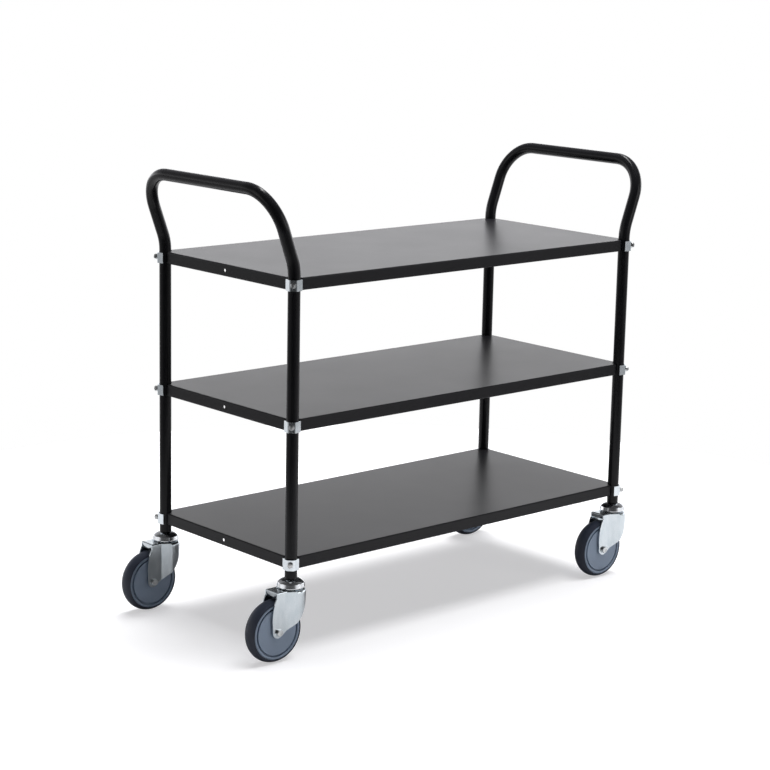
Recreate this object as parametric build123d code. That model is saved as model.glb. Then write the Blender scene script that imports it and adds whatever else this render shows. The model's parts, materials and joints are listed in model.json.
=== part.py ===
from build123d import *

import os
from math import cos, radians, sin, sqrt, tan

# A three-shelf rolling cart: two bent-tube end frames, three folded sheet-steel shelves held to the
# posts by saddle clamps, and four swivel casters. Millimetres, +Z up, X along the cart. The origin is
# on the floor below the middle of the whole cart's bounding box, with the casters trailing towards -X.

# ---- driving dimensions -------------------------------------------------------------------------

POST_SPACING_X = 945.0
POST_SPACING_Y = 425.0
TUBE_R = 12.5
TUBE_WALL = 1.5

HANDLE_TOP_Z = 952.0
HANDLE_LEAN_DEG = 20.3
HANDLE_LEAN_START_Z = 773.0
HANDLE_LEAN_R = 100.0
HANDLE_CORNER_R = 80.0

SHELF_TOPS = {"top": 770.0, "middle": 489.0, "bottom": 208.0}
SHELF_EDGE = 6.6  # how far a shelf's sides stand outside the post axes
SHELF_DEPTH = 25.0
SHEET = 1.25
SHEET_BEND_R = 2.8  # outside radius of the folds along the shelf's edges
RETURN_LIP = 12.0
NOTCH_TIP_R = 5.0  # how the side flanges roll into the seats round the posts
SEAT_CLEARANCE = 0.1
EDGE_HOLE_R = 3.25

CLAMP_SHEET = 2.5
CLAMP_HEIGHT = 22.0
CLAMP_DROP = 1.0  # how far the clamp's middle lies below its bolt
CLAMP_END = 2.0  # the clamp stops this far outside the post axis, along the corner's diagonal
CLAMP_FRONT = 16.2  # from the post axis to the clamp's flat front
CLAMP_SLANT_DEG = 55.0
CLAMP_BEND_R = 5.0
CLAMP_LIP_R = 0.6

M6_R = 3.0
M6_HOLE_R = 3.3
M6_ACROSS = 10.0
M6_HEAD = 4.0
M6_WASHER_R = 6.0
M6_WASHER = 1.2
LOCK_NUT_HEX = 4.9
LOCK_NUT_COLLAR = 1.1
BOLT_END_PROUD = 0.4
BOLT_END_CHAMFER = 0.5
THREAD_GAP = 0.05
COLLAR_EDGE_R = 0.9
HEX_CHAMFER_SIDE = 0.07  # these four are in parts of a nut's width across its flats
HEX_CHAMFER_END = 0.12
COLLAR_RADIUS = 0.44
DISH_RADIUS = 0.32

WHEEL_R = 64.5
TRAIL = 44.4  # from the swivel axis back to the axle
CUP_TOP_Z = 165.4
FORK_TOP_Z = 147.0

# ---- worked-out dimensions ----------------------------------------------------------------------

LEAN = radians(HANDLE_LEAN_DEG)
HANDLE_BAR_Z = HANDLE_TOP_Z - TUBE_R
LEAN_TANGENT = HANDLE_LEAN_R * tan(LEAN / 2)
HANDLE_KNEE_Z = HANDLE_LEAN_START_Z + LEAN_TANGENT
HANDLE_OUT = (HANDLE_BAR_Z - HANDLE_KNEE_Z) * tan(LEAN)

HALF_X = POST_SPACING_X / 2
HALF_Y = POST_SPACING_Y / 2
HANDLE_REACH = HALF_X + HANDLE_OUT + TUBE_R
WHEEL_REACH = HALF_X + TRAIL + WHEEL_R
FRAME_X = (WHEEL_REACH - HANDLE_REACH) / 2  # the posts' centre, measured from the origin

SEAT_R = TUBE_R + SEAT_CLEARANCE
CLAMP_SLANT = radians(CLAMP_SLANT_DEG)
BOLT_LEVELS = [top - SHELF_DEPTH / 2 for top in SHELF_TOPS.values()]
SIDES_X = {"left": -1, "right": 1}
SIDES_Y = {"front": -1, "rear": 1}
CORNERS = {
    f"{name_y}_{name_x}": (side_x, side_y)
    for name_y, side_y in SIDES_Y.items()
    for name_x, side_x in SIDES_X.items()
}

# ---- helpers ------------------------------------------------------------------------------------


def post_location(side_x, side_y, z):
    """A post's axis at height z, with local +X along the corner's outward diagonal."""
    outward = 45 * (2 - side_x) * side_y
    return Pos(FRAME_X + side_x * HALF_X, side_y * HALF_Y, z) * Rot(0, 0, outward)


def rod_x(radius, start, end):
    """A round bar along X from start to end."""
    return Pos((start + end) / 2, 0, 0) * Rot(0, 90, 0) * Cylinder(radius, end - start)


def rod_z(radius, start, end):
    """A round bar along Z from start to end."""
    return Pos(0, 0, (start + end) / 2) * Cylinder(radius, end - start)


def hexagon_z(across, start, end):
    """A hexagonal prism along Z with the corners of its far end chamfered."""
    corner_r = across / sqrt(3)
    height = abs(end - start)
    blank = extrude(RegularPolygon(across / 2, 6, major_radius=False), height)
    turned = Pos(0, 0, height / 2) * Cylinder(corner_r, height)
    far_edge = turned.edges().group_by(Axis.Z)[-1]
    turned = chamfer(far_edge, HEX_CHAMFER_END * across, HEX_CHAMFER_SIDE * across)
    body = blank & turned
    if end < start:
        body = mirror(body, Plane.XY)
    return Pos(0, 0, start) * body


def along_x(shape):
    """Turns a shape made along +Z so that it runs along +X."""
    return Rot(0, 90, 0) * shape


def ring_of_revolution(face):
    """Turns a half profile, drawn in X (radius) and Z, round the Z axis."""
    return revolve(face, Axis.Z)


# ---- end frames ---------------------------------------------------------------------------------


def end_frame(side_x):
    """One continuous tube: up a post, out and over as the push handle, and down the other post."""
    post_x = FRAME_X + side_x * HALF_X
    bar_x = post_x + side_x * HANDLE_OUT
    route = FilletPolyline(
        (post_x, -HALF_Y, CUP_TOP_Z),
        (post_x, -HALF_Y, HANDLE_KNEE_Z),
        (bar_x, -HALF_Y, HANDLE_BAR_Z),
        (bar_x, HALF_Y, HANDLE_BAR_Z),
        (post_x, HALF_Y, HANDLE_KNEE_Z),
        (post_x, HALF_Y, CUP_TOP_Z),
        radius=[HANDLE_LEAN_R, HANDLE_CORNER_R, HANDLE_CORNER_R, HANDLE_LEAN_R],
    )
    foot = Pos(post_x, -HALF_Y, CUP_TOP_Z)
    tube = sweep(foot * Circle(TUBE_R), route) - sweep(foot * Circle(TUBE_R - TUBE_WALL), route)
    for side_y in SIDES_Y.values():
        for level in BOLT_LEVELS:
            tube -= post_location(side_x, side_y, level) * rod_x(M6_HOLE_R, -2 * TUBE_R, 2 * TUBE_R)
    return tube


# ---- shelves ------------------------------------------------------------------------------------


def shelf_outline(inset):
    """A shelf's plan, moved in by inset: a rectangle whose corners give way to the posts."""
    plate = Rectangle(2 * (HALF_X + SHELF_EDGE - inset), 2 * (HALF_Y + SHELF_EDGE - inset))
    seats = [Pos(x * HALF_X, y * HALF_Y) * Circle(SEAT_R + inset) for x, y in CORNERS.values()]
    plate = plate - seats
    if inset < NOTCH_TIP_R:
        plate = fillet(plate.vertices(), NOTCH_TIP_R - inset)
    return plate


def shelf(top_z):
    """A folded tray: flat top, side flanges that wrap the posts, and a lip turned in below."""
    tray = extrude(shelf_outline(0), SHELF_DEPTH)
    tray = fillet(tray.edges().group_by(Axis.Z)[-1], SHEET_BEND_R)
    tray = fillet(tray.edges().group_by(Axis.Z)[0], SHEET_BEND_R)
    inside = Pos(0, 0, SHEET) * extrude(shelf_outline(SHEET), SHELF_DEPTH - 2 * SHEET)
    inside = fillet(inside.edges().group_by(Axis.Z)[-1], SHEET_BEND_R - SHEET)
    inside = fillet(inside.edges().group_by(Axis.Z)[0], SHEET_BEND_R - SHEET)
    mouth = Pos(0, 0, -SHEET) * extrude(shelf_outline(SHEET + RETURN_LIP), SHELF_DEPTH / 2)
    tray = tray - inside - mouth
    for side_x in SIDES_X.values():
        end_x = side_x * (HALF_X + SHELF_EDGE)
        tray -= Pos(end_x, 0, SHELF_DEPTH / 2) * rod_x(EDGE_HOLE_R, -2 * SHEET, 2 * SHEET)
    tray = Pos(FRAME_X, 0, top_z - SHELF_DEPTH) * tray
    for side_x, side_y in CORNERS.values():
        bolt_axis = post_location(side_x, side_y, top_z - SHELF_DEPTH / 2)
        tray -= bolt_axis * rod_x(M6_HOLE_R, -2 * TUBE_R, 0)
    return tray


# ---- corner clamps and their fasteners, made round a post along Z with +X outwards ---------------


def clamp_outline(inset, end_x):
    """The clamp's section, moved in by inset: a flat front and two slanting sides that touch the post."""
    front_x = CLAMP_FRONT - inset
    touch_r = SEAT_R + CLAMP_SHEET - inset
    end_y = (touch_r - end_x * cos(CLAMP_SLANT)) / sin(CLAMP_SLANT)
    front_y = (touch_r - front_x * cos(CLAMP_SLANT)) / sin(CLAMP_SLANT)
    corners = [(end_x, end_y), (front_x, front_y), (front_x, -front_y), (end_x, -end_y)]
    section = make_face(Polyline(corners, close=True))
    return fillet(section.vertices().group_by(Axis.X)[-1], CLAMP_BEND_R - inset)


def clamp():
    """A hat-shaped saddle that grips the outside of a post, with splayed ends and a flat front."""
    section = clamp_outline(0, CLAMP_END) - clamp_outline(CLAMP_SHEET, -TUBE_R)
    lip_tips = section.vertices().group_by(Axis.X)[0].sort_by(Axis.Y)
    section = fillet([lip_tips[0], lip_tips[-1]], CLAMP_LIP_R)
    body = extrude(section, CLAMP_HEIGHT)
    body = Pos(0, 0, -CLAMP_DROP - CLAMP_HEIGHT / 2) * body
    return body - rod_x(M6_HOLE_R, 0, 2 * TUBE_R)


SHELF_WALL_INNER = SEAT_R + SHEET
WASHER_FACE = CLAMP_FRONT + M6_WASHER
LOCK_NUT_TOP = WASHER_FACE + LOCK_NUT_HEX + LOCK_NUT_COLLAR


def clamp_bolt():
    """The clamp bolt, with its head against the inside of the shelf's seat."""
    shank = rod_z(M6_R, -SHELF_WALL_INNER, LOCK_NUT_TOP + BOLT_END_PROUD)
    shank = chamfer(shank.edges().group_by(Axis.Z)[-1], BOLT_END_CHAMFER)
    return along_x(shank + hexagon_z(M6_ACROSS, -SHELF_WALL_INNER, -SHELF_WALL_INNER - M6_HEAD))


def clamp_washer():
    """A flat washer on the clamp's front."""
    disc = rod_x(M6_WASHER_R, CLAMP_FRONT, WASHER_FACE)
    return disc - rod_x(M6_HOLE_R, 0, 2 * TUBE_R)


def clamp_lock_nut():
    """A lock nut: a hexagon with a round collar that holds its locking ring."""
    hexagon = hexagon_z(M6_ACROSS, WASHER_FACE, WASHER_FACE + LOCK_NUT_HEX)
    collar = rod_z(COLLAR_RADIUS * M6_ACROSS, WASHER_FACE, LOCK_NUT_TOP)
    collar = fillet(collar.edges().group_by(Axis.Z)[-1], COLLAR_EDGE_R)
    nut = hexagon + collar - rod_z(M6_R + THREAD_GAP, WASHER_FACE - 1, LOCK_NUT_TOP + 1)
    return along_x(nut)


def at_every_clamp(shape):
    """The same fastener at all the clamps, as separate solids."""
    places = [post_location(x, y, z) for z in BOLT_LEVELS for x, y in CORNERS.values()]
    return Compound(children=[place * shape for place in places])


# ---- swivel casters, made with the swivel axis on Z, the floor at 0 and the wheel towards -X ------

CUP_RIM_R = 28.7
CUP_WALL = 2.4
CUP_RIM_GAP = 2.0
CUP_RIM_EDGE = 1.0
CUP_SHOULDER_R = 27.0
CUP_SHOULDER_Z = 157.8
CUP_SHOULDER_ROUND = 2.0
CUP_FLAT_R = 13.5
CUP_DOME_BULGE = 1.2

BALL_R = 4.0
BALL_GAP = 0.05
BALL_COUNT = 12
RACE_R = 18.5
RACE_DEPTH = 0.8
BALL_Z = FORK_TOP_Z - RACE_DEPTH + BALL_GAP + BALL_R
CUP_RACE_Z = BALL_Z + BALL_R + BALL_GAP - RACE_DEPTH + BALL_GAP
CUP_RECESS_R = RACE_R - 1.5 * BALL_R

FORK_SHEET = 2.5
FORK_HEAD_R = 30.7
FORK_SHOULDER_R = 8.0
FORK_LEG_Y = 19.5  # outside faces of the two legs
FORK_BEND_R = 3.0  # along the top of the legs
FORK_CREASE_X = -25.0
FORK_FLARE = radians(28.3)
FORK_REAR_X = -49.0
FORK_REAR_BEND_R = 2.5
FORK_FLANGE_LOW_Z = 136.0
FORK_FLANGE_LEAN = 2.0  # how far the flange's lower edge stands forward of its upper edge
FORK_LIP_Z = 138.0
LEG_TIP_X = -46.1
LEG_TIP_Z = 66.2
LEG_TIP_R = 13.2
LEG_FRONT_SLOPE = radians(36.5)
LEG_FRONT_END_X = -9.0  # here the leg's straight front edge turns up towards the head
FORK_FRONT_EDGE = [(3.0, 90.0), (10.0, 100.0), (16.0, 112.0), (19.0, 125.0), (20.5, FORK_LIP_Z)]
FORK_REAR_CORNER = (-49.3, 136.0)
FORK_REAR_EDGE = [(-56.2, 120.0), (-60.3, 92.0)]

KING_R = 7.0
RUNNING_GAP = 0.06
STEM_R = 5.0
STEM_ACROSS = 17.0
STEM_HEAD = 6.4
STEM_FLANGE_R = 11.0
STEM_FLANGE = 1.9
THRUST_GAP = 0.2
STEM_END_Z = 188.0
STEM_CHAMFER = 1.0
INSERT_TOP_Z = 190.0
INSERT_GAP = 0.05

AXLE_Z = WHEEL_R
AXLE_R = 4.0
AXLE_HOLE_R = 4.1
AXLE_ACROSS = 13.0
AXLE_HEAD = 5.3
AXLE_HEAD_DISH = 0.8
AXLE_NUT_HEX = 6.0
AXLE_NUT_COLLAR = 2.0
AXLE_END_PROUD = 1.0
AXLE_END_CHAMFER = 0.6
SLEEVE_R = 6.0
SLEEVE_HALF = 12.4
HUB_BORE_R = SLEEVE_R + 0.05

GUARD_R = 47.8
GUARD_FACE = 14.2
GUARD_EDGE_R = 0.8
GUARD_BOSS_R = 11.0
GUARD_LIP = 1.5
GUARD_LIP_INNER = 10.2

HUB_CORE_R = 13.0
HUB_CORE_HALF = 12.0
HUB_TAPER = 2.0
HUB_WEB_HALF = 6.0
HUB_RIM_R = 41.5
GROOVE_FLOOR = 9.0
RING_INNER_R = 51.5
RING_OUTER_R = 56.9
RING_SIDE = 13.4
RING_TOP = 15.0
TYRE_GAP = 0.05
TYRE_SIDE = 14.3
TREAD_EDGE_R = 58.4
TREAD_EDGE_HALF = 15.5


def swivel_cup():
    """The fixed upper race of a swivel head: a domed cup with a slightly conical wall."""
    inner_r = CUP_RIM_R - CUP_RIM_EDGE - CUP_WALL
    top_under = CUP_TOP_Z - CUP_WALL
    rim_z = FORK_TOP_Z + CUP_RIM_GAP
    hole_r = STEM_R + 2 * THREAD_GAP
    shoulder = (CUP_SHOULDER_R, CUP_SHOULDER_Z)
    outside = Polyline((hole_r, top_under), (hole_r, CUP_TOP_Z), (CUP_FLAT_R, CUP_TOP_Z))
    outside += SagittaArc((CUP_FLAT_R, CUP_TOP_Z), shoulder, CUP_DOME_BULGE)
    outside += Polyline(
        shoulder,
        (CUP_RIM_R, rim_z + CUP_RIM_EDGE),
        (CUP_RIM_R, rim_z),
        (inner_r, rim_z),
        (inner_r, CUP_RACE_Z),
        (CUP_RECESS_R, CUP_RACE_Z),
        (CUP_RECESS_R, top_under),
        (hole_r, top_under),
    )
    profile = make_face(Plane.XZ * outside)
    cup = ring_of_revolution(profile)
    shoulder_edges = [edge for edge in cup.edges() if abs(edge.center().Z - CUP_SHOULDER_Z) < RUNNING_GAP]
    cup = fillet(shoulder_edges, CUP_SHOULDER_ROUND)
    return cup - Pos(0, 0, BALL_Z) * Torus(RACE_R, BALL_R + BALL_GAP)


def race_balls():
    """The ring of balls between the fork and the cup."""
    ball = Pos(RACE_R, 0, BALL_Z) * Sphere(BALL_R)
    return Compound(children=[Rot(0, 0, 360 * i / BALL_COUNT) * ball for i in range(BALL_COUNT)])


def fork_blank(inset):
    """The pressing before its edges are cut, moved in by inset: a round head and two flat legs."""
    top_z = FORK_TOP_Z - inset
    head_r = FORK_HEAD_R - inset
    rear_x = LEG_TIP_X - 2 * LEG_TIP_R
    front_x = FORK_HEAD_R + FORK_SHOULDER_R
    flare_y = FORK_LEG_Y + (front_x - FORK_CREASE_X) * tan(FORK_FLARE)
    sides = [(rear_x, FORK_LEG_Y), (FORK_CREASE_X, FORK_LEG_Y), (front_x, flare_y)]
    plan = make_face(Polyline(sides + [(x, -y) for x, y in reversed(sides)], close=True))
    wedge = extrude(offset(plan, -inset, kind=Kind.INTERSECTION), top_z)
    rim = wedge.edges().group_by(Axis.Z)[-1]
    long_edges = [edge for edge in rim if abs(edge.center().Y) > FORK_LEG_Y / 2]
    wedge = fillet(long_edges, FORK_BEND_R - inset)
    head = extrude(Circle(head_r) + Pos(rear_x / 2, 0) * Rectangle(-rear_x, 2 * head_r), top_z)
    rim = head.edges().group_by(Axis.Z)[-1]
    head = fillet([edge for edge in rim if edge.center().X > rear_x / 1.5], FORK_SHOULDER_R - inset)
    return wedge & head


def fork_side():
    """The fork from the side: legs that sweep back and down to a round tip below the axle."""
    tip_front_x = LEG_TIP_X + LEG_TIP_R * sin(LEG_FRONT_SLOPE)
    tip_front_z = LEG_TIP_Z - LEG_TIP_R * cos(LEG_FRONT_SLOPE)
    tip_rear = (LEG_TIP_X - LEG_TIP_R, LEG_TIP_Z)
    tip_low = (LEG_TIP_X, LEG_TIP_Z - LEG_TIP_R)
    front_start = (LEG_FRONT_END_X, tip_front_z + (LEG_FRONT_END_X - tip_front_x) * tan(LEG_FRONT_SLOPE))
    bend_start = (FORK_REAR_X + FORK_REAR_BEND_R, FORK_TOP_Z)
    bend_end = (FORK_REAR_X, FORK_TOP_Z - FORK_REAR_BEND_R)
    outline = TangentArc(bend_start, bend_end, tangent=(-1, 0)) + Line(bend_end, FORK_REAR_CORNER)
    outline += Spline(FORK_REAR_CORNER, *FORK_REAR_EDGE, tip_rear, tangents=[(-0.55, -1), (0, -1)])
    outline += ThreePointArc(tip_rear, tip_low, (tip_front_x, tip_front_z))
    outline += Line((tip_front_x, tip_front_z), front_start)
    front_tangents = [(cos(LEG_FRONT_SLOPE), sin(LEG_FRONT_SLOPE)), (0.1, 1)]
    outline += Spline(front_start, *FORK_FRONT_EDGE, tangents=front_tangents)
    outline += Polyline(
        FORK_FRONT_EDGE[-1],
        (2 * FORK_HEAD_R, FORK_LIP_Z),
        (2 * FORK_HEAD_R, FORK_TOP_Z),
        bend_start,
    )
    return make_face(Plane.XZ * outline)


def fork_flange():
    """The lip that closes the fork's rear between the legs, turned down and a little forward."""
    high_z = FORK_TOP_Z - FORK_REAR_BEND_R
    low_x = FORK_REAR_X + FORK_FLANGE_LEAN
    corners = [
        (FORK_REAR_X, high_z),
        (FORK_REAR_X + FORK_SHEET, high_z),
        (low_x + FORK_SHEET, FORK_FLANGE_LOW_Z),
        (low_x, FORK_FLANGE_LOW_Z),
    ]
    section = make_face(Plane.XZ * Polyline(corners, close=True))
    return extrude(section, FORK_LEG_Y - FORK_SHEET, both=True)


def fork():
    """The pressed fork: a round head with a ball track, a skirt and two legs."""
    leg_inner = FORK_LEG_Y - FORK_SHEET
    gap_length = 2 * FORK_HEAD_R
    rear_gap = Box(gap_length, 2 * leg_inner, 2 * FORK_TOP_Z)
    shell = fork_blank(0) - fork_blank(FORK_SHEET)
    shell -= Pos(FORK_REAR_X - gap_length / 2, 0, FORK_TOP_Z / 2) * rear_gap
    shell &= extrude(fork_side(), 2 * FORK_HEAD_R, both=True)
    shell += fork_flange()
    shell -= rod_z(KING_R + RUNNING_GAP, FORK_TOP_Z / 2, 2 * FORK_TOP_Z)
    shell -= Pos(0, 0, BALL_Z) * Torus(RACE_R, BALL_R + BALL_GAP)
    return shell - Pos(-TRAIL, 0, AXLE_Z) * Rot(90, 0, 0) * Cylinder(AXLE_HOLE_R, 4 * FORK_LEG_Y)


def stem_bolt():
    """The bolt that holds a caster in the post; its shoulder is the pin that the fork turns on."""
    flange_top = FORK_TOP_Z - FORK_SHEET - THRUST_GAP
    flange_low = flange_top - STEM_FLANGE
    bolt = hexagon_z(STEM_ACROSS, flange_low, flange_low - STEM_HEAD)
    bolt += rod_z(STEM_FLANGE_R, flange_low, flange_top)
    bolt += rod_z(KING_R, flange_top, CUP_TOP_Z - CUP_WALL)
    shank = rod_z(STEM_R, CUP_TOP_Z - CUP_WALL, STEM_END_Z)
    return bolt + chamfer(shank.edges().group_by(Axis.Z)[-1], STEM_CHAMFER)


def tube_insert():
    """The threaded insert in the foot of a post."""
    insert = rod_z(TUBE_R - TUBE_WALL - INSERT_GAP, CUP_TOP_Z, INSERT_TOP_Z)
    insert = chamfer(insert.edges().group_by(Axis.Z)[-1], STEM_CHAMFER)
    return insert - rod_z(STEM_R + THREAD_GAP, CUP_TOP_Z - 1, INSERT_TOP_Z + 1)


# The wheel's pieces are made round the Z axis and then laid along the axle, +Z becoming -Y.


def on_axle(shape):
    """Lays a shape made round Z onto the axle, with its +Z end towards the cart's front."""
    return Pos(-TRAIL, 0, AXLE_Z) * Rot(90, 0, 0) * shape


def axle_bolt():
    """The axle bolt, with a dished head on the cart's front side."""
    head_top = FORK_LEG_Y + AXLE_HEAD
    end = -(FORK_LEG_Y + AXLE_NUT_HEX + AXLE_NUT_COLLAR + AXLE_END_PROUD)
    shank = rod_z(AXLE_R, end, FORK_LEG_Y)
    shank = chamfer(shank.edges().group_by(Axis.Z)[0], AXLE_END_CHAMFER)
    head = hexagon_z(AXLE_ACROSS, FORK_LEG_Y, head_top)
    head -= rod_z(DISH_RADIUS * AXLE_ACROSS, head_top - AXLE_HEAD_DISH, head_top + 1)
    return on_axle(shank + head)


def axle_nut():
    """The axle's lock nut, on the cart's rear side."""
    hex_end = -(FORK_LEG_Y + AXLE_NUT_HEX)
    collar_end = hex_end - AXLE_NUT_COLLAR
    collar = rod_z(COLLAR_RADIUS * AXLE_ACROSS, collar_end, -FORK_LEG_Y)
    collar = fillet(collar.edges().group_by(Axis.Z)[0], COLLAR_EDGE_R)
    nut = hexagon_z(AXLE_ACROSS, -FORK_LEG_Y, hex_end) + collar
    return on_axle(nut - rod_z(AXLE_R + THREAD_GAP, collar_end - 1, 0))


def axle_sleeve():
    """The steel sleeve that the wheel turns on, clamped between the thread guards."""
    sleeve = rod_z(SLEEVE_R, -SLEEVE_HALF, SLEEVE_HALF)
    return on_axle(sleeve - rod_z(AXLE_HOLE_R, -WHEEL_R, WHEEL_R))


def thread_guards():
    """Two flat discs that cover the wheel's faces and stand still with the fork."""
    leg_inner = FORK_LEG_Y - FORK_SHEET
    disc = rod_z(GUARD_R, GUARD_LIP_INNER, GUARD_FACE)
    disc = fillet(disc.edges().group_by(Axis.Z)[-1], GUARD_EDGE_R)
    disc -= rod_z(GUARD_R - GUARD_LIP, 0, SLEEVE_HALF)
    disc += rod_z(GUARD_BOSS_R, SLEEVE_HALF, leg_inner)
    disc -= rod_z(AXLE_HOLE_R, 0, WHEEL_R)
    return on_axle(Compound(children=[disc, mirror(disc, Plane.XY)]))


def both_sides(points):
    """Closes a half profile given as (radius, height) points by repeating it below the middle."""
    return points + [(radius, -height) for radius, height in reversed(points)]


def wheel_centre():
    """The wheel's moulded centre: bored core, web, face groove and a round-topped rim ring."""
    core = [
        (HUB_BORE_R, HUB_CORE_HALF),
        (HUB_CORE_R, HUB_CORE_HALF),
        (HUB_CORE_R + HUB_TAPER, HUB_WEB_HALF),
        (HUB_RIM_R, HUB_WEB_HALF),
        (HUB_RIM_R + HUB_TAPER, GROOVE_FLOOR),
        (RING_OUTER_R, GROOVE_FLOOR),
    ]
    web = make_face(Plane.XZ * Polyline(both_sides(core), close=True))
    ring_middle = (RING_INNER_R + RING_OUTER_R) / 2
    ring = Line((RING_INNER_R, -RING_SIDE), (RING_INNER_R, RING_SIDE))
    ring += ThreePointArc((RING_INNER_R, RING_SIDE), (ring_middle, RING_TOP), (RING_OUTER_R, RING_SIDE))
    ring += Line((RING_OUTER_R, RING_SIDE), (RING_OUTER_R, -RING_SIDE))
    ring += ThreePointArc((RING_OUTER_R, -RING_SIDE), (ring_middle, -RING_TOP), (RING_INNER_R, -RING_SIDE))
    return on_axle(ring_of_revolution(web) + ring_of_revolution(make_face(Plane.XZ * ring)))


def tyre():
    """The soft tyre, with a strongly crowned tread."""
    inner_r = RING_OUTER_R + TYRE_GAP
    section = ThreePointArc((TREAD_EDGE_R, -TREAD_EDGE_HALF), (WHEEL_R, 0), (TREAD_EDGE_R, TREAD_EDGE_HALF))
    section += Polyline(
        (TREAD_EDGE_R, TREAD_EDGE_HALF),
        (inner_r, TYRE_SIDE),
        (inner_r, -TYRE_SIDE),
        (TREAD_EDGE_R, -TREAD_EDGE_HALF),
    )
    return on_axle(ring_of_revolution(make_face(Plane.XZ * section)))


# ---- the whole cart -----------------------------------------------------------------------------

CASTER_PIECES = {
    "swivel_cup": swivel_cup,
    "race_balls": race_balls,
    "fork": fork,
    "axle_bolt": axle_bolt,
    "axle_nut": axle_nut,
    "axle_sleeve": axle_sleeve,
    "thread_guards": thread_guards,
    "wheel_centre": wheel_centre,
    "tyre": tyre,
}


def caster_places():
    """The four swivel axes on the floor, all with the wheels trailing the same way."""
    return {name: Pos(FRAME_X + x * HALF_X, y * HALF_Y, 0) for name, (x, y) in CORNERS.items()}


def write(node, shape):
    """Writes one node's STEP file."""
    export_step(shape, f"parts/{node}.step")


def write_cart():
    """Makes every node of the cart and writes it."""
    os.makedirs("parts", exist_ok=True)
    for name, side_x in SIDES_X.items():
        write(f"{name}_end_frame", end_frame(side_x))
    saddle = clamp()
    for level, top_z in SHELF_TOPS.items():
        write(f"{level}_shelf", shelf(top_z))
        for corner, (side_x, side_y) in CORNERS.items():
            place = post_location(side_x, side_y, top_z - SHELF_DEPTH / 2)
            write(f"{level}_clamp_{corner}", place * saddle)
    write("clamp_bolts", at_every_clamp(clamp_bolt()))
    write("clamp_washers", at_every_clamp(clamp_washer()))
    write("clamp_lock_nuts", at_every_clamp(clamp_lock_nut()))
    places = caster_places()
    write("stem_bolts", Compound(children=[place * stem_bolt() for place in places.values()]))
    write("tube_inserts", Compound(children=[place * tube_insert() for place in places.values()]))
    for piece, make in CASTER_PIECES.items():
        shape = make()
        for corner, place in places.items():
            write(f"{corner}_{piece}", place * shape)


write_cart()
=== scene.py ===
"""Looks of the rolling utility cart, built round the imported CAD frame. All sizes are in metres."""

import json
import math

import bpy
from mathutils import Matrix, Vector

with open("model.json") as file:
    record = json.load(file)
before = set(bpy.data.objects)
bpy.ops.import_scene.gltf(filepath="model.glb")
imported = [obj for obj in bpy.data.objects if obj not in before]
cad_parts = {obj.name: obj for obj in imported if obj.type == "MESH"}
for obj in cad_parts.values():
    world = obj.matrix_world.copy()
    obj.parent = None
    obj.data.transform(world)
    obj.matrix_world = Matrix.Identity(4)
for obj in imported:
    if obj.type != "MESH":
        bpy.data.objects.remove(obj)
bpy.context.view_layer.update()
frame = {"nodes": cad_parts, "record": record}
slot_of = {part["node"]: part["material_slot"] for part in frame["record"]["subparts"]}

# ---------------------------------------------------------------- named values
MM = 0.001

CAMERA_PLACE = (-3.0082, -3.3426, 1.4260)
CAMERA_TARGET = (-0.0405, -0.0220, 0.4730)
CAMERA_ROLL = math.radians(-1.202)
LENS_MM = 98.77
SENSOR_MM = 36.0
CLIP_NEAR = 0.05
CLIP_FAR = 200.0

FLOOR_RADIUS = 1.6
FLOOR_SIDES = 128
FLOOR_GLOW = 0.48
FLOOR_GLOW_COLOUR = (0.99, 0.985, 1.0)
FLOOR_MOTTLE = 0.4
FLOOR_DARK = (0.60, 0.60, 0.61)
FLOOR_LIGHT = (0.62, 0.62, 0.63)
FLOOR_ROUGHNESS = 0.9
FLOOR_SPECULAR = 0.1

# The studio's brightness from the side facing the camera (0) round to the camera's own side (1).
STUDIO_STOPS = (
    (0.0, 1.52), (0.25, 1.32), (0.42, 0.5), (0.55, 0.54), (0.8, 0.46), (0.92, 0.07), (1.0, 0.05)
)
# What that is multiplied by at each height of the view direction, 0 at the horizon and 1 overhead.
HEIGHT_STOPS = (
    (-0.06, 0.65), (0.0, 1.9), (0.11, 1.8), (0.16, 1.06), (0.23, 0.88), (0.29, 0.64), (0.45, 0.26), (1.0, 0.1)
)
LOWEST = -0.3
STUDIO_TINT = (1.0, 1.0, 1.02)
BACKDROP = (1.0, 1.0, 1.0)

# Soft lights: size is width and height in metres, power is in watts.
SOFTBOXES = {
    "top_light": dict(
        place=(0.65, 0.15, 4.2), target=(0.0, 0.0, 0.4), size=(4.0, 3.0), power=300.0, in_reflections=False
    ),
    "strip_light": dict(place=(0.9, 0.6, 3.4), target=(0.0, 0.0, 0.9), size=(0.4, 1.8), power=30.0),
    "left_light": dict(place=(-4.2, 1.2, 1.9), target=(0.0, 0.0, 0.5), size=(1.6, 2.6), power=8.0),
    "right_light": dict(place=(2.2, -4.0, 1.9), target=(0.0, 0.0, 0.5), size=(1.6, 2.6), power=20.0),
}

# The part of a noise's 0..1 range that is spread over a colour or roughness range.
NOISE_LOW = 0.3
NOISE_HIGH = 0.7

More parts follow.
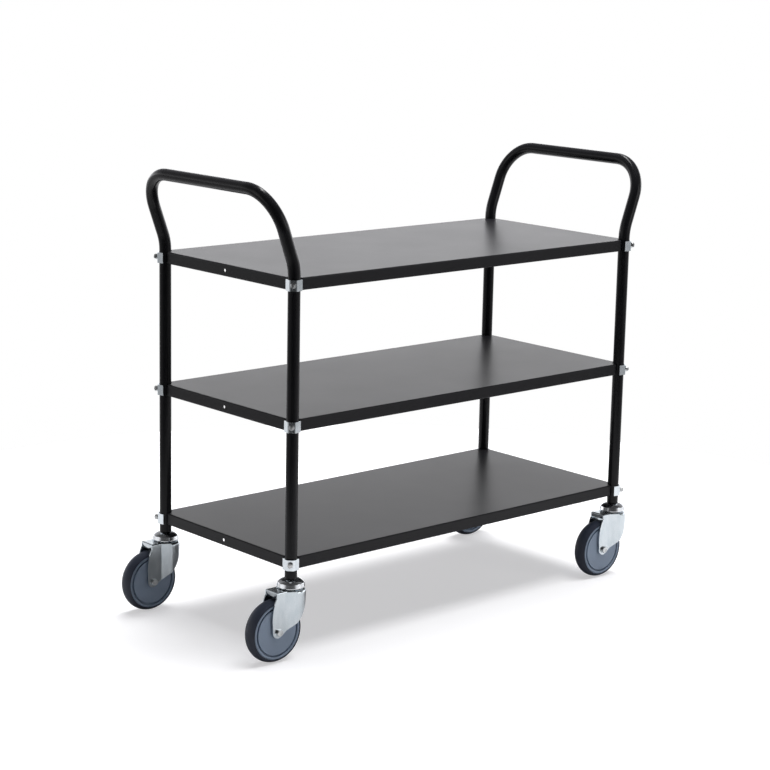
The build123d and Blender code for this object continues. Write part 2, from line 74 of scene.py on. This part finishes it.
# Coats, plastic and rubber. clouds is the size, detail and roughness of the broad mottling. grains
# lists the fine bumps, broadest first: size, detail, depth and strength.
DULL_FINISHES = {
    # satin black powder coat on tube: a fine orange peel with faint cloudiness
    "frame_coat": dict(
        ior=1.5,
        specular=0.2,
        clouds=(60 * MM, 3.0, 0.5),
        dark=(0.0070, 0.0070, 0.0083),
        light=(0.0092, 0.0092, 0.0106),
        roughness=(0.21, 0.24),
        grains=((1.6 * MM, 2.0, 0.025 * MM, 0.5), (0.35 * MM, 1.0, 0.006 * MM, 0.5)),
    ),
    # semi-gloss black powder coat on sheet: a fine pebble and faint cloudiness
    "shelf_coat": dict(
        ior=1.5,
        specular=0.2,
        clouds=(90 * MM, 3.0, 0.5),
        dark=(0.0095, 0.0093, 0.011),
        light=(0.0115, 0.0112, 0.013),
        roughness=(0.335, 0.35),
        grains=((0.9 * MM, 2.0, 0.02 * MM, 0.5), (0.3 * MM, 1.0, 0.005 * MM, 0.5)),
    ),
    # moulded blue-grey polypropylene with a fine spark-eroded grain
    "grey_plastic": dict(
        ior=1.49,
        specular=0.5,
        clouds=(25 * MM, 3.0, 0.5),
        dark=(0.222, 0.280, 0.370),
        light=(0.240, 0.300, 0.396),
        roughness=(0.42, 0.52),
        grains=((0.25 * MM, 2.0, 0.02 * MM, 0.4),),
    ),
    # thermoplastic rubber: matt, slightly uneven, with a dry bloom
    "grey_rubber": dict(
        ior=1.5,
        specular=0.4,
        clouds=(12 * MM, 4.0, 0.6),
        dark=(0.022, 0.027, 0.043),
        light=(0.028, 0.034, 0.052),
        roughness=(0.5, 0.66),
        grains=((0.4 * MM, 2.0, 0.04 * MM, 0.5),),
    ),
}

# Bright zinc plate. marks is the width of the drawing marks.
ZINC_FINISHES = {
    "zinc_clamp": dict(dark=(0.74, 0.80, 0.84), light=(0.84, 0.89, 0.92), roughness=0.18, marks=0.8 * MM),
    "zinc_fork": dict(dark=(0.60, 0.66, 0.70), light=(0.705, 0.755, 0.785), roughness=0.15, marks=1.0 * MM),
    "zinc_fastener": dict(dark=(0.62, 0.64, 0.65), light=(0.74, 0.75, 0.75), roughness=0.3, marks=0.5 * MM),
}
ZINC_FILM = 9 * MM
ZINC_FILM_STRETCH = (1.0, 1.0, 0.3)
ZINC_SPANGLE = 1.5 * MM
ZINC_SPANGLE_ROUGHNESS = (-0.01, 0.02)
ZINC_ROUGHNESS_SPREAD = (0.9, 1.1)
ZINC_MARK_STRETCH = (1.0, 1.0, 0.08)
ZINC_BUMP = 0.003 * MM
ZINC_MARK_STRENGTH = 0.18
ZINC_SPANGLE_STRENGTH = 0.3

PLATE_HAZE = 6 * MM
PLATE_DARK = (0.80, 0.82, 0.85)
PLATE_LIGHT = (0.86, 0.88, 0.90)
PLATE_ROUGHNESS = (0.07, 0.13)
PLATE_MARK = 0.5 * MM
PLATE_MARK_STRETCH = (0.05, 0.05, 1.0)
PLATE_MARK_BUMP = 0.004 * MM
PLATE_MARK_STRENGTH = 0.4

BEARING_FILM = 3 * MM
BEARING_DARK = (0.42, 0.42, 0.43)
BEARING_LIGHT = (0.56, 0.57, 0.58)
BEARING_ROUGHNESS = (0.15, 0.3)
BEARING_BUMP = 0.01 * MM
BEARING_STRENGTH = 0.3


# ---------------------------------------------------------------- node helpers
class Shader:
    """A material's node tree with short ways to add and join nodes."""

    def __init__(self, name):
        self.material = bpy.data.materials.new(name)
        self.material.use_nodes = True
        self.tree = self.material.node_tree
        self.bsdf = self.tree.nodes["Principled BSDF"]
        self.coords = self.add("ShaderNodeTexCoord").outputs["Object"]

    def add(self, kind, **values):
        """A new node with its properties set."""
        node = self.tree.nodes.new(kind)
        for key, value in values.items():
            setattr(node, key, value)
        return node

    def join(self, source, target):
        """Links an output to an input."""
        self.tree.links.new(source, target)

    def set(self, **values):
        """Sets the shader's own sockets, with _ for a space in a socket's name."""
        for key, value in values.items():
            self.bsdf.inputs[key.replace("_", " ")].default_value = value

    def stretched(self, scale):
        """Object coordinates scaled by three factors."""
        mapping = self.add("ShaderNodeMapping")
        mapping.inputs["Scale"].default_value = scale
        self.join(self.coords, mapping.inputs["Vector"])
        return mapping.outputs["Vector"]

    def noise(self, size, detail=2.0, roughness=0.5, coords=None):
        """Noise whose features are about `size` metres across."""
        node = self.add("ShaderNodeTexNoise")
        node.inputs["Scale"].default_value = 1.0 / size
        node.inputs["Detail"].default_value = detail
        node.inputs["Roughness"].default_value = roughness
        self.join(coords or self.coords, node.inputs["Vector"])
        return node.outputs["Fac"]

    def span(self, value, low, high):
        """Maps the used part of a noise to low..high."""
        node = self.add("ShaderNodeMapRange")
        node.inputs["From Min"].default_value = NOISE_LOW
        node.inputs["From Max"].default_value = NOISE_HIGH
        node.inputs["To Min"].default_value = low
        node.inputs["To Max"].default_value = high
        self.join(value, node.inputs["Value"])
        return node.outputs["Result"]

    def blend(self, value, dark, light):
        """Maps the used part of a noise to the colours dark..light."""
        node = self.add("ShaderNodeValToRGB")
        for element, position, colour in zip(
            node.color_ramp.elements, (NOISE_LOW, NOISE_HIGH), (dark, light)
        ):
            element.position = position
            element.color = (*colour, 1.0)
        self.join(value, node.inputs["Fac"])
        return node.outputs["Color"]

    def calculate(self, operation, first, second):
        """A sum or product of two sockets or numbers."""
        node = self.add("ShaderNodeMath", operation=operation)
        for socket, value in zip(node.inputs, (first, second)):
            if isinstance(value, (int, float)):
                socket.default_value = value
            else:
                self.join(value, socket)
        return node.outputs["Value"]

    def bump(self, height, distance, strength, below=None):
        """Bump of `distance` metres, on top of another bump's normal if one is given."""
        node = self.add("ShaderNodeBump")
        node.inputs["Distance"].default_value = distance
        node.inputs["Strength"].default_value = strength
        self.join(height, node.inputs["Height"])
        if below is not None:
            self.join(below, node.inputs["Normal"])
        return node.outputs["Normal"]

    def finish(self, colour, roughness=None, normal=None):
        """Joins what is given to the shader and returns the material."""
        for source, name in ((colour, "Base Color"), (roughness, "Roughness"), (normal, "Normal")):
            if source is not None:
                self.join(source, self.bsdf.inputs[name])
        return self.material


# ---------------------------------------------------------------- materials
def dull_finish(name, ior, specular, clouds, dark, light, roughness, grains):
    """A coat, plastic or rubber with broad mottling and fine bumps."""
    s = Shader(name)
    s.set(Metallic=0.0, IOR=ior, Specular_IOR_Level=specular)
    mottling = s.noise(*clouds)
    normal = None
    for size, detail, depth, strength in grains:
        normal = s.bump(s.noise(size, detail), depth, strength, normal)
    return s.finish(s.blend(mottling, dark, light), s.span(mottling, *roughness), normal)


def zinc_finish(name, dark, light, roughness, marks):
    """Bright zinc plate on steel: blue-white with a mottled passivation film and drawing marks."""
    s = Shader(name)
    s.set(Metallic=1.0)
    film = s.noise(ZINC_FILM, 3.0, 0.5, s.stretched(ZINC_FILM_STRETCH))
    spangle = s.noise(ZINC_SPANGLE)
    drawn = s.noise(marks, 3.0, 0.6, s.stretched(ZINC_MARK_STRETCH))
    film_rough = s.span(film, *(roughness * part for part in ZINC_ROUGHNESS_SPREAD))
    rough = s.calculate("ADD", film_rough, s.span(spangle, *ZINC_SPANGLE_ROUGHNESS))
    normal = s.bump(drawn, ZINC_BUMP, ZINC_MARK_STRENGTH)
    normal = s.bump(spangle, ZINC_BUMP, ZINC_SPANGLE_STRENGTH, normal)
    return s.finish(s.blend(film, dark, light), rough, normal)


def bright_plate():
    """Polished plate on a drawn cup: near mirror with faint turning marks."""
    s = Shader("bright_plate")
    s.set(Metallic=1.0)
    haze = s.noise(PLATE_HAZE)
    turning = s.noise(PLATE_MARK, coords=s.stretched(PLATE_MARK_STRETCH))
    normal = s.bump(turning, PLATE_MARK_BUMP, PLATE_MARK_STRENGTH)
    return s.finish(s.blend(haze, PLATE_DARK, PLATE_LIGHT), s.span(haze, *PLATE_ROUGHNESS), normal)


def bearing_steel():
    """Ground steel with a thin film of grease."""
    s = Shader("bearing_steel")
    s.set(Metallic=1.0)
    film = s.noise(BEARING_FILM)
    normal = s.bump(film, BEARING_BUMP, BEARING_STRENGTH)
    return s.finish(s.blend(film, BEARING_DARK, BEARING_LIGHT), s.span(film, *BEARING_ROUGHNESS), normal)


finishes = {name: dull_finish(name, **values) for name, values in DULL_FINISHES.items()}
finishes.update({name: zinc_finish(name, **values) for name, values in ZINC_FINISHES.items()})
finishes["bright_plate"] = bright_plate()
finishes["bearing_steel"] = bearing_steel()
for name, node in frame["nodes"].items():
    node.data.materials.clear()
    node.data.materials.append(finishes[slot_of[name]])


# ---------------------------------------------------------------- floor
def make_floor():
    """A round pale studio floor."""
    mesh = bpy.data.meshes.new("studio_floor")
    turns = [2 * math.pi * i / FLOOR_SIDES for i in range(FLOOR_SIDES)]
    rim = [(FLOOR_RADIUS * math.cos(a), FLOOR_RADIUS * math.sin(a), 0.0) for a in turns]
    mesh.from_pydata(rim, [], [tuple(range(FLOOR_SIDES))])
    floor = bpy.data.objects.new("studio_floor", mesh)
    bpy.context.scene.collection.objects.link(floor)
    s = Shader("studio_floor")
    s.set(
        Roughness=FLOOR_ROUGHNESS, Specular_IOR_Level=FLOOR_SPECULAR, Emission_Color=(*FLOOR_GLOW_COLOUR, 1.0)
    )
    paper = s.noise(FLOOR_MOTTLE, 3.0)
    path = s.add("ShaderNodeLightPath")
    glow = s.calculate("MULTIPLY", path.outputs["Is Camera Ray"], FLOOR_GLOW)
    s.join(glow, s.bsdf.inputs["Emission Strength"])
    mesh.materials.append(s.finish(s.blend(paper, FLOOR_DARK, FLOOR_LIGHT)))


# ---------------------------------------------------------------- light
def grey_ramp(tree, stops):
    """A ramp of grey levels with (position, level) stops."""
    ramp = tree.nodes.new("ShaderNodeValToRGB")
    elements = ramp.color_ramp.elements
    while len(elements) < len(stops):
        elements.new(0.5)
    for element, (position, level) in zip(elements, stops):
        element.position = position
        element.color = (level, level, level, 1.0)
    return ramp


def unit_part(tree, lowest):
    """Maps lowest..1 to 0..1."""
    node = tree.nodes.new("ShaderNodeMapRange")
    node.inputs["From Min"].default_value = lowest
    node.inputs["From Max"].default_value = 1.0
    return node


def make_world():
    """A white studio that is dimmer on the side that the camera stands on."""
    world = bpy.data.worlds.new("studio")
    bpy.context.scene.world = world
    world.use_nodes = True
    tree = world.node_tree
    tree.nodes.clear()
    out = tree.nodes.new("ShaderNodeOutputWorld")
    light = tree.nodes.new("ShaderNodeBackground")
    backdrop = tree.nodes.new("ShaderNodeBackground")
    choose = tree.nodes.new("ShaderNodeMixShader")
    path = tree.nodes.new("ShaderNodeLightPath")
    coords = tree.nodes.new("ShaderNodeTexCoord")
    dot = tree.nodes.new("ShaderNodeVectorMath")
    dot.operation = "DOT_PRODUCT"
    towards = Vector((CAMERA_PLACE[0], CAMERA_PLACE[1], 0.0)).normalized()
    dot.inputs[1].default_value = towards
    around_part = unit_part(tree, -1.0)
    height_part = unit_part(tree, LOWEST)
    around = grey_ramp(tree, STUDIO_STOPS)
    height = grey_ramp(tree, [((z - LOWEST) / (1.0 - LOWEST), level) for z, level in HEIGHT_STOPS])
    split = tree.nodes.new("ShaderNodeSeparateXYZ")
    level = tree.nodes.new("ShaderNodeMath")
    level.operation = "MULTIPLY"
    light.inputs["Color"].default_value = (*STUDIO_TINT, 1.0)
    backdrop.inputs["Color"].default_value = (*BACKDROP, 1.0)
    backdrop.inputs["Strength"].default_value = 1.0
    for source, target in (
        (coords.outputs["Generated"], dot.inputs[0]),
        (dot.outputs["Value"], around_part.inputs["Value"]),
        (around_part.outputs["Result"], around.inputs["Fac"]),
        (coords.outputs["Generated"], split.inputs["Vector"]),
        (split.outputs["Z"], height_part.inputs["Value"]),
        (height_part.outputs["Result"], height.inputs["Fac"]),
        (around.outputs["Color"], level.inputs[0]),
        (height.outputs["Color"], level.inputs[1]),
        (level.outputs["Value"], light.inputs["Strength"]),
        (path.outputs["Is Camera Ray"], choose.inputs["Fac"]),
        (light.outputs["Background"], choose.inputs[1]),
        (backdrop.outputs["Background"], choose.inputs[2]),
        (choose.outputs["Shader"], out.inputs["Surface"]),
    ):
        tree.links.new(source, target)


def softbox(name, place, target, size, power, in_reflections=True):
    """A rectangular area light that faces the target."""
    data = bpy.data.lights.new(name, "AREA")
    data.shape = "RECTANGLE"
    data.size, data.size_y = size
    data.energy = power
    light = bpy.data.objects.new(name, data)
    bpy.context.scene.collection.objects.link(light)
    light.location = place
    light.rotation_mode = "QUATERNION"
    light.rotation_quaternion = (Vector(target) - Vector(place)).to_track_quat("-Z", "Y")
    light.visible_camera = False
    light.visible_glossy = in_reflections


# ---------------------------------------------------------------- camera
def make_camera():
    """The camera at the viewing angle, turned by its small roll."""
    data = bpy.data.cameras.new("camera")
    data.lens, data.sensor_width = LENS_MM, SENSOR_MM
    data.clip_start, data.clip_end = CLIP_NEAR, CLIP_FAR
    camera = bpy.data.objects.new("camera", data)
    bpy.context.scene.collection.objects.link(camera)
    place, target = Vector(CAMERA_PLACE), Vector(CAMERA_TARGET)
    forward = (target - place).normalized()
    right = forward.cross(Vector((0.0, 0.0, 1.0))).normalized()
    down = forward.cross(right)
    c, s = math.cos(CAMERA_ROLL), math.sin(CAMERA_ROLL)
    x_axis = c * right + s * down
    y_axis = s * right - c * down
    matrix = Matrix((x_axis, y_axis, -forward)).transposed().to_4x4()
    matrix.translation = place
    camera.matrix_world = matrix
    bpy.context.scene.camera = camera


make_floor()
make_world()
for name, values in SOFTBOXES.items():
    softbox(name, **values)
make_camera()
bpy.context.scene.view_settings.view_transform = "Standard"
